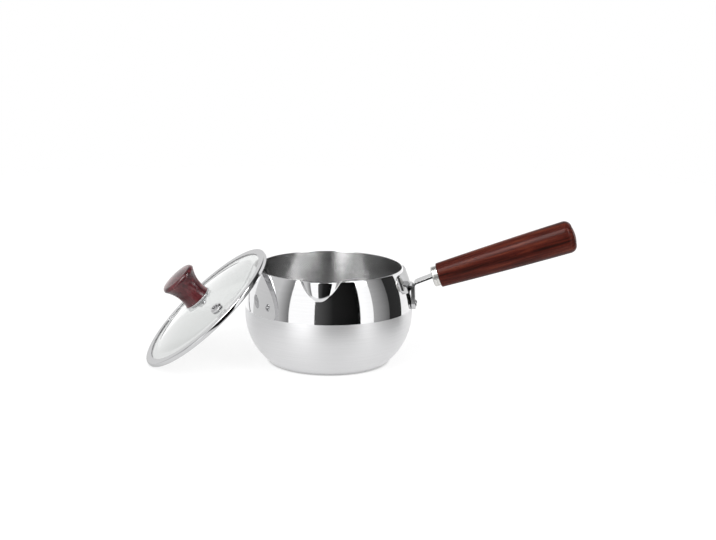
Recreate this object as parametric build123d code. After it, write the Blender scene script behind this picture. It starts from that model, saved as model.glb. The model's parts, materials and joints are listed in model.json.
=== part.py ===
from build123d import *
from math import asin, atan2, cos, degrees, hypot, radians, sin, sqrt, tan
import os

# Milk pan with a pouring beak, a turned wooden handle and a glass lid.
# Millimetres. The origin is the middle of the pan's underside, +Z is up,
# +X points along the handle and -Y through the pouring beak.

# Pan: one deep-drawn stainless shell
rim_diameter = 140.0
pan_height = 92.0
belly_bulge = 10.0
belly_height = 48.0
base_inset = 14.0
pan_wall = 1.0
base_corner_radius = 7.0

# Pouring beak pressed into the rim
beak_width = 42.0
beak_reach = 6.5
beak_depth = 17.0
beak_outline_shares = [(1.22, -0.45), (0.62, 0.36), (0.2, 0.86), (0.0, 1.0)]

# Bracket spot-welded to the wall, bent from sheet
bracket_sheet = 1.8
bracket_plate_width = 54.0
bracket_plate_height = 17.5
bracket_drop = 2.5
bracket_corner_radius = 4.0
bracket_tongue_drop = 13.5
bracket_toe_reach = 4.5
bracket_bend_radius = 1.8

# Stem strap between the bracket and the grip
strap_width = 18.0
stem_sheet = 1.8
stem_bend_radius = 4.0
stem_slope = 22.9
stem_knee_rise = 2.05
stem_above_axis = 1.5
strap_end_radius = 6.0
rivet_spacing = 10.0
rivet_shank_diameter = 3.2
rivet_head_diameter = 5.6
rivet_head_height = 1.4
rivet_rise = 9.5

# Ferrule, stud and grip, on one axis that rises away from the pan
handle_rise = 18.8
ferrule_stand = 19.0
ferrule_diameter = 19.4
ferrule_length = 6.0
ferrule_edge_radius = 1.0
ferrule_wall = 1.6
spigot_diameter = 14.0
spigot_length = 5.0
stud_diameter = 5.0
stud_length = 46.0
insert_diameter = 9.0
insert_length = 18.0
grip_length = 133.0
grip_small_diameter = 23.4
grip_large_diameter = 30.6
grip_swell = 0.5
grip_end_radius = 7.0
grip_front_radius = 0.8
grip_end_crown = 1.2

# Glass lid in its rolled steel band
lid_overhang = 6.0
band_sheet = 0.5
band_top_width = 7.0
band_lip_width = 7.4
band_corner_radius = 1.3
seal_thickness = 0.25
glass_thickness = 3.1
glass_rise = 8.9
glass_flat_width = 13.8

# Knob and its fastening through the glass
knob_height = 31.0
knob_base_diameter = 27.0
knob_waist_diameter = 25.2
knob_top_diameter = 36.0
knob_waist_share = 0.24
knob_edge_radius = 3.6
knob_crown = 1.8
dish_diameter = 28.5
dish_sheet = 0.8
gasket_diameter = 20.0
gasket_thickness = 0.8
washer_diameter = 15.0
washer_thickness = 1.0
screw_diameter = 5.0
screw_head_diameter = 9.2
screw_head_height = 3.2
knob_insert_diameter = 8.0
knob_insert_length = 13.0
glass_hole_diameter = 8.0

# Steam vent
vent_inset = 26.5
vent_angle = -78.0
vent_flange_diameter = 11.0
vent_tube_diameter = 7.4
vent_bore_diameter = 5.0
vent_sheet = 0.9
vent_stand = 1.3

# How the lid leans: its glass rests on the rim, its lower edge on the table
lean_bearing = 17.95
lean_contact_inset = 13.3
lean_side_offset = 15.5
lean_clearance = 0.3

# Fits
fit_clearance = 0.05
thread_clearance = 0.1
cut_overrun = 20.0

rim_radius = rim_diameter / 2
belly_radius = rim_radius + belly_bulge
base_radius = rim_radius - base_inset
bracket_plate_top = pan_height - bracket_drop
bracket_tongue_height = bracket_plate_top - bracket_tongue_drop
stem_knee_height = bracket_tongue_height + stem_knee_rise
rivet_height = belly_height + rivet_rise
bracket_tongue_toe = rivet_height - bracket_toe_reach
ferrule_front_reach = belly_radius + ferrule_stand


def arc_radius(rise, inset):
    """Radius of an arc that starts upright at the belly and comes in by inset over rise."""
    return (rise ** 2 + inset ** 2) / (2 * inset)


upper_arc_radius = arc_radius(pan_height - belly_height, belly_bulge)
lower_arc_radius = arc_radius(belly_height, belly_radius - base_radius)
upper_arc_centre = belly_radius - upper_arc_radius
lower_arc_centre = belly_radius - lower_arc_radius


def wall_radius(height, depth=0):
    """Radius of the wall above the belly, at a height and at a depth into the sheet."""
    return upper_arc_centre + sqrt((upper_arc_radius - depth) ** 2 - (height - belly_height) ** 2)


def pan_section(depth):
    """Half section filled to the axis, whose edge lies at a depth into the sheet."""
    rim_point = (wall_radius(pan_height, depth), pan_height)
    belly_point = (belly_radius - depth, belly_height)
    corner_x = lower_arc_centre + sqrt((lower_arc_radius - depth) ** 2 - (belly_height - depth) ** 2)
    corner_point = (corner_x, depth)
    lower_middle = arc_middle(corner_point, belly_point, lower_arc_centre, lower_arc_radius - depth)
    upper_middle = arc_middle(belly_point, rim_point, upper_arc_centre, upper_arc_radius - depth)
    outline = Line((0, depth), corner_point)
    outline += ThreePointArc(corner_point, lower_middle, belly_point)
    outline += ThreePointArc(belly_point, upper_middle, rim_point)
    outline += Polyline(rim_point, (0, pan_height), (0, depth))
    return Plane.XZ * make_face(outline)


def arc_middle(start, end, centre_x, radius):
    """Point half way round an arc about a centre at belly height."""
    middle_x = (start[0] + end[0]) / 2 - centre_x
    middle_z = (start[1] + end[1]) / 2 - belly_height
    reach = hypot(middle_x, middle_z)
    return (centre_x + middle_x * radius / reach, belly_height + middle_z * radius / reach)


def beak_form(depth):
    """Beak as a cone over its outline at the rim, down to a point on the wall."""
    foot_height = pan_height - beak_depth
    foot = Vertex(0, -wall_radius(foot_height, depth), foot_height)
    half_width = beak_width / 2
    shore = sqrt(rim_radius ** 2 - half_width ** 2)
    tip = rim_radius + beak_reach
    points = []
    for across_share, out_share in beak_outline_shares:
        out = shore + (tip - shore) * out_share - depth
        points.append((half_width * across_share, -out))
    right = points[:-1]
    left = [(-across, out) for across, out in right]
    curve = Spline(*left, points[-1], *reversed(right))
    back = Polyline(right[0], (right[0][0], 0), (left[0][0], 0), left[0])
    rim_face = Plane.XY.offset(pan_height) * make_face(curve + back)
    cone = loft([rim_face, foot])
    if not depth:
        return cone
    above = extrude(rim_face, cut_overrun)
    return cone + above


def circles_near(shape, radius, height, reach):
    """Round edges about the pan's axis that lie within reach of a radius and a height."""
    found = []
    for edge in shape.edges().filter_by(GeomType.CIRCLE):
        near_radius = abs(edge.radius - radius) < reach
        near_height = abs(edge.center().Z - height) < reach
        if near_radius and near_height:
            found.append(edge)
    return found


def rod(diameter, length):
    """Cylinder that starts at its own origin and runs up +Z."""
    return Cylinder(diameter / 2, length, align=(Align.CENTER, Align.CENTER, Align.MIN))


def pan_form(depth):
    """Filled pan at a depth into the sheet, with the corner of its base rounded."""
    form = revolve(pan_section(depth), Axis.Z)
    corner = circles_near(form, base_radius, depth, pan_wall)
    form = fillet(corner, base_corner_radius - depth)
    if not depth:
        return form
    mouth = Pos(0, 0, pan_height) * rod(2 * wall_radius(pan_height, depth), cut_overrun)
    return form + mouth


def make_pan_body():
    """Drawn shell with a flat base, a full belly, a plain cut rim and the beak."""
    outside = pan_form(0) + beak_form(0)
    inside = pan_form(pan_wall) + beak_form(pan_wall)
    return outside - inside


# The tongue's leg touches the belly at its toe, and the strap lies on it.
leg_lean = asin((bracket_tongue_toe - belly_height) / upper_arc_radius)
leg_reach = wall_radius(bracket_tongue_toe) - bracket_toe_reach * tan(leg_lean)
leg_plane = Plane(
    origin=(leg_reach + fit_clearance, 0, rivet_height),
    x_dir=(0, 1, 0),
    z_dir=(cos(leg_lean), 0, sin(leg_lean)),
)


def leg_point(height, depth):
    """Point in the XZ plane at a height, at a depth out from the leg's inner face."""
    foot = leg_plane.origin.X + depth / cos(leg_lean)
    return (foot - (height - rivet_height) * tan(leg_lean), height)


def strip(path, sheet, width):
    """Flat strap of a sheet thickness, bent along a path in the XZ plane."""
    face = trace(path, sheet)
    return extrude(Plane.XZ * face, width / 2, both=True)


def round_toe(strap, radius):
    """Round the two corners at the hanging end of a strap."""
    toe = strap.faces().sort_by(Axis.Z)[0]
    corners = toe.edges().sort_by(SortBy.LENGTH)[:2]
    return fillet(corners, radius)


def make_handle_bracket():
    """Plate curved to the wall, with a tongue bent out of it and down over the belly."""
    high = bracket_plate_top
    low = high - bracket_plate_height
    middle = (low + high) / 2
    reach = middle - low + bracket_sheet / 2
    inner = [(wall_radius(middle + step), middle + step) for step in (-reach, 0, reach)]
    outer = [(wall_radius(middle + step, -bracket_sheet), middle + step) for step in (-reach, 0, reach)]
    outline = ThreePointArc(*inner) + ThreePointArc(*outer)
    outline += Line(inner[0], outer[0]) + Line(inner[2], outer[2])
    section = Plane.XZ * make_face(outline)
    half_turn = degrees(asin(bracket_plate_width / 2 / rim_radius))
    shell = revolve(section, Axis.Z, 2 * half_turn).rotate(Axis.Z, -half_turn)
    blank = Pos(0, middle) * RectangleRounded(bracket_plate_width, high - low, bracket_corner_radius)
    plate = shell & extrude(Plane.YZ * blank, rim_diameter)
    path = FilletPolyline(
        (wall_radius(bracket_tongue_height, -bracket_sheet / 2), bracket_tongue_height),
        leg_point(bracket_tongue_height, bracket_sheet / 2),
        leg_point(bracket_tongue_toe, bracket_sheet / 2),
        radius=bracket_bend_radius,
    )
    tongue = round_toe(strip(path, bracket_sheet, strap_width), strap_end_radius)
    return plate + tongue - rivet_bores()


stem_middle = bracket_sheet + stem_sheet / 2
stem_knee = leg_point(stem_knee_height, stem_middle)
stem_rise = tan(radians(stem_slope))
ferrule_front_height = stem_knee_height + (ferrule_front_reach - stem_knee[0]) * stem_rise - stem_above_axis
handle_axis = Plane(
    origin=(ferrule_front_reach, 0, ferrule_front_height),
    x_dir=(0, 1, 0),
    z_dir=(cos(radians(handle_rise)), 0, sin(radians(handle_rise))),
)


def rivet_bores():
    """The two holes through tongue and strap."""
    bores = Sketch()
    for side in (-1, 1):
        bores += Pos(side * rivet_spacing / 2, 0) * Circle(rivet_shank_diameter / 2 + fit_clearance)
    return extrude(leg_plane * bores, strap_end_radius, both=True)


def make_handle_stem():
    """Strap that lies on the tongue, bends out at its knee and runs to the ferrule."""
    end_reach = ferrule_front_reach + ferrule_length / 2
    path = FilletPolyline(
        leg_point(bracket_tongue_toe, stem_middle),
        stem_knee,
        (end_reach, stem_knee_height + (end_reach - stem_knee[0]) * stem_rise),
        radius=stem_bend_radius,
    )
    strap = round_toe(strip(path, stem_sheet, strap_width), strap_end_radius)
    return strap - rivet_bores()


def make_stem_rivets():
    """Two set rivets: a domed head outside, a flush tail inside."""
    grip = bracket_sheet + stem_sheet
    ball_radius = arc_radius(rivet_head_diameter / 2, rivet_head_height)
    ball = Pos(0, 0, grip + rivet_head_height - ball_radius) * Sphere(ball_radius)
    above = Pos(0, 0, grip) * rod(2 * rivet_head_diameter, rivet_head_diameter)
    rivet = rod(rivet_shank_diameter, grip) + (ball & above)
    sides = [Pos(side * rivet_spacing / 2, 0, 0) * rivet for side in (-1, 1)]
    return leg_plane.location * Compound(sides)


def on_handle(shape, along=0):
    """Place a shape on the handle's axis, at a distance behind the ferrule's front."""
    return handle_axis.offset(along).location * shape


stud_start = ferrule_length - ferrule_wall


def make_ferrule(stem):
    """Turned cup with a rounded front edge, a spigot for the grip and a slot for the stem."""
    cup = rod(ferrule_diameter, ferrule_length)
    front = cup.edges().filter_by(GeomType.CIRCLE).sort_by(Axis.Z)[0]
    cup = fillet(front, ferrule_edge_radius)
    spigot = Pos(0, 0, ferrule_length) * rod(spigot_diameter, spigot_length)
    bore = Pos(0, 0, stud_start) * rod(stud_diameter, ferrule_length + spigot_length)
    return on_handle(cup + spigot - bore) - stem


def make_handle_stud():
    """Threaded stud welded into the ferrule."""
    return on_handle(rod(stud_diameter - 2 * fit_clearance, stud_length), stud_start)


def make_handle_insert():
    """Brass sleeve set in the grip, threaded for the stud."""
    sleeve = rod(insert_diameter, insert_length) - rod(stud_diameter + 2 * fit_clearance, insert_length)
    return on_handle(sleeve, ferrule_length + spigot_length + 2 * fit_clearance)


def rounded_corner(side, top, radius):
    """Start, middle and end of a quarter round between an upright side and a flat top."""
    back = radius * (1 - cos(radians(45)))
    return (side, top - radius), (side - back, top - back), (side - radius, top)


def crown(edge, rise):
    """Low arc from an edge point up to the axis, square to the axis there."""
    ball_radius = arc_radius(edge[0], rise)
    half = edge[0] / 2
    half_rise = rise - ball_radius + sqrt(ball_radius ** 2 - half ** 2)
    return ThreePointArc(edge, (half, edge[1] + half_rise), (0, edge[1] + rise))


def make_handle_grip():
    """Turned rosewood grip that widens to a rounded end, bored for its fastening."""
    small = grip_small_diameter / 2
    large = grip_large_diameter / 2
    half_way = ((small + large) / 2 + grip_swell, grip_length / 2)
    shoulder = grip_length - grip_end_crown
    corner_start, corner_middle, corner_end = rounded_corner(large, shoulder, grip_end_radius)
    outline = Line((0, 0), (small, 0))
    outline += ThreePointArc((small, 0), half_way, corner_start)
    outline += ThreePointArc(corner_start, corner_middle, corner_end)
    outline += crown(corner_end, grip_end_crown)
    outline += Line((0, grip_length), (0, 0))
    grip = revolve(Plane.XZ * make_face(outline), Axis.Z)
    front = grip.edges().filter_by(GeomType.CIRCLE).sort_by(Axis.Z)[0]
    grip = fillet(front, grip_front_radius)
    socket = rod(spigot_diameter + 2 * fit_clearance, spigot_length + fit_clearance)
    sleeve_bore = rod(insert_diameter + 2 * fit_clearance, spigot_length + insert_length + 3 * fit_clearance)
    stud_reach = stud_start + stud_length - ferrule_length
    stud_bore = rod(stud_diameter + 2 * thread_clearance, stud_reach + fit_clearance)
    return on_handle(grip - socket - sleeve_bore - stud_bore, ferrule_length + fit_clearance)


# The lid is drawn about its own axis: z 0 is the face that seats on the rim.
lid_radius = rim_radius + lid_overhang
vent_radius = lid_radius - vent_inset
lean_contact_radius = lid_radius - lean_contact_inset
band_height = 2 * band_sheet + 2 * seal_thickness + glass_thickness
glass_underside = band_sheet + seal_thickness
glass_edge_radius = lid_radius - band_sheet - seal_thickness
glass_flat_radius = glass_edge_radius - glass_flat_width
glass_ball_radius = arc_radius(glass_flat_radius, glass_rise)
crown_height = glass_underside + glass_thickness + glass_rise


def glass_drop(radius):
    """How far the dome has fallen below its crown at a radius."""
    return glass_ball_radius - sqrt(glass_ball_radius ** 2 - radius ** 2)


def ring(outline):
    """Turn a closed outline in the XZ plane about the lid's axis."""
    return revolve(Plane.XZ * make_face(outline), Axis.Z)


def rims_of(shape, radius):
    """Round edges of a shape that have a radius."""
    found = []
    for edge in shape.edges().filter_by(GeomType.CIRCLE):
        if abs(edge.radius - radius) < fit_clearance:
            found.append(edge)
    return found


def screw_washer(diameter, thickness, height):
    """Flat ring that the knob's screw passes through, its underside at a height."""
    washer = rod(diameter, thickness) - rod(screw_diameter + 2 * thread_clearance, thickness)
    return Pos(0, 0, height) * washer


def make_lid_glass():
    """Domed tempered glass with a flat margin and two drilled holes."""
    low = glass_underside
    high = low + glass_thickness
    half = glass_flat_radius / 2
    half_rise = glass_rise - glass_drop(half)
    outline = Polyline(
        (glass_flat_radius, low),
        (glass_edge_radius, low),
        (glass_edge_radius, high),
        (glass_flat_radius, high),
    )
    outline += ThreePointArc((glass_flat_radius, high), (half, high + half_rise), (0, high + glass_rise))
    outline += Line((0, high + glass_rise), (0, low + glass_rise))
    outline += ThreePointArc((0, low + glass_rise), (half, low + half_rise), (glass_flat_radius, low))
    glass = ring(outline)
    glass = fillet(rims_of(glass, glass_edge_radius), band_corner_radius / 2)
    knob_hole = rod(glass_hole_diameter, crown_height + cut_overrun)
    vent_hole = vent_seat().location * Cylinder(vent_tube_diameter / 2 + fit_clearance, cut_overrun)
    return glass - knob_hole - vent_hole


def channel_ring(depth, thickness):
    """Square channel open inward, at a depth inside the band and of a thickness."""
    outer = lid_radius - depth
    wall = outer - thickness
    low = depth
    high = band_height - depth
    outline = Polyline(
        (lid_radius - band_lip_width, low),
        (outer, low),
        (outer, high),
        (lid_radius - band_top_width, high),
        (lid_radius - band_top_width, high - thickness),
        (wall, high - thickness),
        (wall, low + thickness),
        (lid_radius - band_lip_width, low + thickness),
        close=True,
    )
    return ring(outline)


def make_band_seal():
    """Silicone lining between the glass edge and the band."""
    outer = lid_radius - band_sheet
    lining = channel_ring(band_sheet, seal_thickness)
    lining = fillet(rims_of(lining, outer), band_corner_radius - band_sheet)
    return fillet(rims_of(lining, glass_edge_radius), band_corner_radius / 2)


def make_lid_band():
    """Rolled steel channel round the glass, whose lower lip seats on the rim."""
    channel = channel_ring(0, band_sheet)
    channel = fillet(rims_of(channel, lid_radius), band_corner_radius)
    return fillet(rims_of(channel, lid_radius - band_sheet), band_corner_radius - band_sheet)


def make_knob_dish():
    """Pressed steel dish that the knob stands on."""
    dish = screw_washer(dish_diameter, dish_sheet, crown_height + gasket_thickness)
    return fillet(rims_of(dish, dish_diameter / 2), dish_sheet / 3)


def make_upper_gasket():
    """Silicone washer between dish and glass."""
    return screw_washer(gasket_diameter, gasket_thickness, crown_height)


under_glass = crown_height - glass_thickness - glass_drop(gasket_diameter / 2)
screw_head_seat = under_glass - gasket_thickness - washer_thickness


def make_lower_gasket():
    """Silicone washer between the glass and the screw's steel washer."""
    return screw_washer(gasket_diameter, gasket_thickness, under_glass - gasket_thickness)


def make_knob_washer():
    """Flat steel washer under the screw's head."""
    return screw_washer(washer_diameter, washer_thickness, screw_head_seat)


knob_seat = crown_height + gasket_thickness + dish_sheet


def make_knob_screw():
    """Pan-head screw from below, with a cross recess."""
    length = knob_seat + knob_insert_length - screw_head_seat - screw_diameter / 2
    shank = Pos(0, 0, screw_head_seat) * rod(screw_diameter - 2 * fit_clearance, length)
    head = Pos(0, 0, screw_head_seat - screw_head_height) * rod(screw_head_diameter, screw_head_height)
    under = head.edges().filter_by(GeomType.CIRCLE).sort_by(Axis.Z)[0]
    head = fillet(under, screw_head_height / 3)
    slot = Box(screw_head_diameter / 2, screw_diameter / 5, screw_head_height / 2)
    recess = Pos(0, 0, screw_head_seat - screw_head_height) * (slot + Rot(0, 0, 90) * slot)
    return shank + head - recess


def make_knob_insert():
    """Brass sleeve set in the knob, threaded for the screw."""
    sleeve = rod(knob_insert_diameter, knob_insert_length)
    sleeve -= rod(screw_diameter + 2 * fit_clearance, knob_insert_length)
    return Pos(0, 0, knob_seat + fit_clearance) * sleeve


def make_lid_knob():
    """Turned rosewood knob: narrow waist, flared head with a rounded edge and a low crown."""
    base = knob_base_diameter / 2
    waist = knob_waist_diameter / 2
    top = knob_top_diameter / 2
    waist_height = knob_height * knob_waist_share
    shoulder = knob_height - knob_crown
    corner_start, corner_middle, corner_end = rounded_corner(top, shoulder, knob_edge_radius)
    outline = Line((0, 0), (base, 0))
    outline += ThreePointArc((base, 0), (waist, waist_height), corner_start)
    outline += ThreePointArc(corner_start, corner_middle, corner_end)
    outline += crown(corner_end, knob_crown)
    outline += Line((0, knob_height), (0, 0))
    knob = ring(outline)
    bore = rod(knob_insert_diameter + 2 * fit_clearance, knob_insert_length + 2 * fit_clearance)
    return Pos(0, 0, knob_seat) * (knob - bore)


def vent_seat():
    """Plane on the dome's top where the vent sits, square to the glass."""
    lean = asin(vent_radius / glass_ball_radius)
    turn = radians(vent_angle)
    out_x = cos(turn)
    out_y = sin(turn)
    height = crown_height - glass_drop(vent_radius)
    return Plane(
        origin=(vent_radius * out_x, vent_radius * out_y, height),
        x_dir=(-out_y, out_x, 0),
        z_dir=(sin(lean) * out_x, sin(lean) * out_y, cos(lean)),
    )


def make_vent_eyelet():
    """Rolled steel eyelet through the glass, flanged on both sides."""
    flange = vent_flange_diameter / 2
    tube = vent_tube_diameter / 2
    bore = vent_bore_diameter / 2
    under = -glass_thickness - 2 * fit_clearance
    points = [
        (bore, under - vent_sheet),
        (flange, under - vent_sheet),
        (flange, under),
        (tube, under),
        (tube, fit_clearance),
        (flange, fit_clearance),
        (flange, vent_stand),
        (tube, vent_stand + vent_sheet),
        (bore, vent_stand + vent_sheet / 2),
    ]
    outline = Polyline(*points, close=True)
    eyelet = ring(outline)
    rims = eyelet.edges().filter_by(GeomType.CIRCLE).filter_by(
        lambda edge: edge.center().Z > vent_stand / 2 and edge.radius > bore + fit_clearance
    )
    eyelet = fillet(rims, vent_sheet / 3)
    return vent_seat().location * eyelet


def lid_pose():
    """Leaning lid: its lower edge stands on the table and its glass rests on the rim."""
    corner = band_corner_radius
    below = lean_clearance - glass_underside
    up_slope = sqrt(lean_contact_radius ** 2 - lean_side_offset ** 2)
    reach = lid_radius - corner + up_slope
    hang = below + corner
    tilt = asin((pan_height - corner) / hypot(reach, hang)) + atan2(hang, reach)
    lift = (lid_radius - corner) * sin(tilt) - corner * cos(tilt) + corner
    outward = rim_radius + up_slope * cos(tilt) + below * sin(tilt)
    bearing = radians(lean_bearing)
    origin_x = -outward * cos(bearing) - lean_side_offset * sin(bearing)
    origin_y = -outward * sin(bearing) + lean_side_offset * cos(bearing)
    return Plane(
        origin=(origin_x, origin_y, lift),
        x_dir=(cos(tilt) * cos(bearing), cos(tilt) * sin(bearing), sin(tilt)),
        z_dir=(-sin(tilt) * cos(bearing), -sin(tilt) * sin(bearing), cos(tilt)),
    )


stem_solid = make_handle_stem()
lean = lid_pose()

parts = {
    "pan_body": make_pan_body(),
    "handle_bracket": make_handle_bracket(),
    "handle_stem": stem_solid,
    "stem_rivets": make_stem_rivets(),
    "ferrule": make_ferrule(stem_solid),
    "handle_stud": make_handle_stud(),
    "handle_insert": make_handle_insert(),
    "handle_grip": make_handle_grip(),
    "lid_glass": lean.location * make_lid_glass(),
    "band_seal": lean.location * make_band_seal(),
    "lid_band": lean.location * make_lid_band(),
    "vent_eyelet": lean.location * make_vent_eyelet(),
    "upper_gasket": lean.location * make_upper_gasket(),
    "knob_dish": lean.location * make_knob_dish(),
    "lid_knob": lean.location * make_lid_knob(),
    "knob_insert": lean.location * make_knob_insert(),
    "lower_gasket": lean.location * make_lower_gasket(),
    "knob_washer": lean.location * make_knob_washer(),
    "knob_screw": lean.location * make_knob_screw(),
}

os.makedirs("parts", exist_ok=True)
for name, solid in parts.items():
    export_step(solid, "parts/" + name + ".step")

print("lid axis", lean.z_dir, "lid origin", lean.origin)
print("handle axis", handle_axis.z_dir, "ferrule front", handle_axis.origin)
print("vent seat", (lean.location * vent_seat().location).position)
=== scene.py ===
import json

import bmesh
import bpy
import numpy as np
from mathutils import Matrix, Vector


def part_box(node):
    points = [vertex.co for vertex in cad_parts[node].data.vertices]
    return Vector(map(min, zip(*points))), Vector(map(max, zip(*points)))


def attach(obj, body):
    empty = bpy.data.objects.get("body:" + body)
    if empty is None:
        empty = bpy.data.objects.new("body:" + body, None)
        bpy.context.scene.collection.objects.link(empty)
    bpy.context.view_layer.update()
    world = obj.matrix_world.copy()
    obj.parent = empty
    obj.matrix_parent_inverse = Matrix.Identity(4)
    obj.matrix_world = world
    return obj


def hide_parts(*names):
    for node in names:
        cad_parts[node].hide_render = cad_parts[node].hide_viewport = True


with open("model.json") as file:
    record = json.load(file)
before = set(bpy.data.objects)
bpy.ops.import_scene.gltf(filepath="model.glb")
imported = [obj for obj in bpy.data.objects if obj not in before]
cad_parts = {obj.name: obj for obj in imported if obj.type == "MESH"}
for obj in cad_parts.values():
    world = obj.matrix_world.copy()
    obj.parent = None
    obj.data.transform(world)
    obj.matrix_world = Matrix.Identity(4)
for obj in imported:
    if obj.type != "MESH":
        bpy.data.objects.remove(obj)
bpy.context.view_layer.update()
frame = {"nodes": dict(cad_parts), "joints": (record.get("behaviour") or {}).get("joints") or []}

# Pan body
# A bellied milk pan drawn from one stainless blank, its rim rounded and its pouring beak pressed in. The
# shoulder is buffed to a mirror, the belly is satin-brushed and the inside is brushed on a lathe.
MM = 0.001
rim_radius = 70.0
pan_height = 92.0
belly_radius = 80.0
belly_height = 48.0
base_radius = 56.0
base_corner_radius = 7.0
pan_wall = 1.0
mirror_edge_height = 54.0
beak_foot_height = 74.6
beak_reach = 6.2
beak_half_width = 18.5
beak_softness = 0.4
pan_turns = 320
beak_crowding = 0.55
base_rows, corner_rows, belly_rows = 8, 10, 30
satin_rows, mirror_rows, beak_rows = 6, 20, 64
rim_steps = 9


def arc_radius(rise, inset):
    """Radius of an arc that starts along its rise and comes in by inset over it."""
    return (rise ** 2 + inset ** 2) / (2 * inset)


upper_arc = arc_radius(pan_height - belly_height, belly_radius - rim_radius)
lower_arc = arc_radius(belly_height, belly_radius - base_radius)


def soft_max(first, second, softness):
    """The larger of two heights, with a round blend where they differ by less than softness."""
    share = np.clip(0.5 + 0.5 * (second - first) / softness, 0, 1)
    return first + (second - first) * share + softness * share * (1 - share)


def wall_radius(height):
    """Radius of the wall over the belly: a circle's arc that starts upright there."""
    return belly_radius - upper_arc + np.sqrt(upper_arc ** 2 - (height - belly_height) ** 2)


def beak_bulge(bearing, height):
    """How far the beak stands off the wall: a parabola across it, whose reach grows with the 0.8th
    power of the height over its foot and whose width grows with that height's root. It is eased
    into the wall round its edge, and less near its foot, where it is low."""
    share = (height - beak_foot_height) / (pan_height - beak_foot_height)
    share = np.clip(share, 1e-4, 1)
    across = wall_radius(height) * bearing / (beak_half_width * share ** 0.5)
    reach = beak_reach * share ** 0.8 * (1 - across ** 2)
    softness = np.minimum(beak_softness, 0.9 * beak_reach * share)
    return soft_max(0 * reach, reach, softness)


def outward(grid):
    """Unit normals of a grid that closes round its second index: the cross product of its slopes."""
    along = np.gradient(grid, axis=0)
    round_it = np.roll(grid, -1, axis=1) - np.roll(grid, 1, axis=1)
    normal = np.cross(round_it, along)
    return normal / np.linalg.norm(normal, axis=2, keepdims=True)


def skin(name, grid, loop=False, finishes=(), finish_rows=None):
    """A mesh from a grid of points in millimetres that closes round its second index, and round
    its first too where it is a loop. Points that lie together, as at a pole, are welded. Its UV
    map runs round it and along the profile, and profile_mm is the length along the profile."""
    rows, turns = grid.shape[:2]
    strips = rows if loop else rows - 1
    row = np.arange(strips)[:, None]
    turn = np.arange(turns)[None, :]
    next_row, next_turn = (row + 1) % rows, (turn + 1) % turns
    corners = [
        row * turns + turn, row * turns + next_turn,
        next_row * turns + next_turn, next_row * turns + turn,
    ]
    quads = np.stack(corners, axis=-1).reshape(-1, 4)
    mesh = bpy.data.meshes.new(name)
    mesh.from_pydata((grid.reshape(-1, 3) * MM).tolist(), [], quads.tolist())

    steps = np.linalg.norm(np.diff(grid, axis=0), axis=2).mean(axis=1)
    length = np.concatenate([[0], np.cumsum(steps)])
    along = np.append(length, length[-1]) / length[-1]
    left = np.broadcast_to(turn, (strips, turns))
    low = np.broadcast_to(along[row], (strips, turns))
    high = np.broadcast_to(along[row + 1], (strips, turns))
    u = np.stack([left, left + 1, left + 1, left], axis=-1) / turns
    v = np.stack([low, low, high, high], axis=-1)
    layer = mesh.uv_layers.new(name="turned")
    layer.data.foreach_set("uv", np.stack([u, v], axis=-1).astype(np.float32).ravel())
    track = mesh.attributes.new("profile_mm", "FLOAT", "POINT")
    track.data.foreach_set("value", np.repeat(length, turns).astype(np.float32))
    for finish in finishes:
        mesh.materials.append(finish)
    if finish_rows is not None:
        face_finish = np.repeat(finish_rows, turns).astype(np.int32)
        mesh.polygons.foreach_set("material_index", face_finish)

    shape = bmesh.new()
    shape.from_mesh(mesh)
    bmesh.ops.remove_doubles(shape, verts=shape.verts, dist=1e-7)
    bmesh.ops.recalc_face_normals(shape, faces=shape.faces)
    shape.to_mesh(mesh)
    shape.free()
    mesh.shade_smooth()
    piece = bpy.data.objects.new(name, mesh)
    bpy.context.scene.collection.objects.link(piece)
    return piece


def linear(code):
    """An sRGB hex colour as linear RGBA."""
    value = np.array([int(code[i:i + 2], 16) for i in (1, 3, 5)]) / 255
    flat = np.where(value <= 0.04045, value / 12.92, ((value + 0.055) / 1.055) ** 2.4)
    return (*flat.tolist(), 1.0)


def node(tree, kind, feeds=None, **settings):
    """Add one node with its settings. feeds gives each socket a value, or the one that drives it."""
    made = tree.nodes.new(kind)
    for key, value in settings.items():
        setattr(made, key, value)
    for key, value in (feeds or {}).items():
        if isinstance(value, bpy.types.NodeSocket):
            tree.links.new(value, made.inputs[key])
        else:
            made.inputs[key].default_value = value
    return made


def finish_of(name):
    """An empty node material and its tree."""
    made = bpy.data.materials.new(name)
    made.use_nodes = True
    made.node_tree.nodes.clear()
    return made, made.node_tree


def surface(tree, shader):
    """Make a shader the material's surface."""
    node(tree, "ShaderNodeOutputMaterial", {"Surface": shader.outputs[0]})


def lathe_lines(tree, across_mm, along_mm):
    """Noise drawn out round the pan: across_mm between lines and along_mm long. It reads the place
    across the pan, and the length along the profile."""
    place = node(tree, "ShaderNodeTexCoord").outputs["Object"]
    parts = node(tree, "ShaderNodeSeparateXYZ", {0: place})
    track = node(tree, "ShaderNodeAttribute", attribute_name="profile_mm").outputs["Fac"]
    slow = 1 / (along_mm * MM)
    feeds = {}
    for axis, value, factor in (
        ("Z", track, 1 / across_mm), ("X", parts.outputs["X"], slow), ("Y", parts.outputs["Y"], slow),
    ):
        scaled = {0: value, 1: factor}
        feeds[axis] = node(tree, "ShaderNodeMath", scaled, operation="MULTIPLY").outputs[0]
    spot = node(tree, "ShaderNodeCombineXYZ", feeds).outputs[0]
    noise = {"Vector": spot, "Scale": 1.0, "Detail": 4.0, "Roughness": 0.65}
    return node(tree, "ShaderNodeTexNoise", noise).outputs["Fac"]


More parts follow.
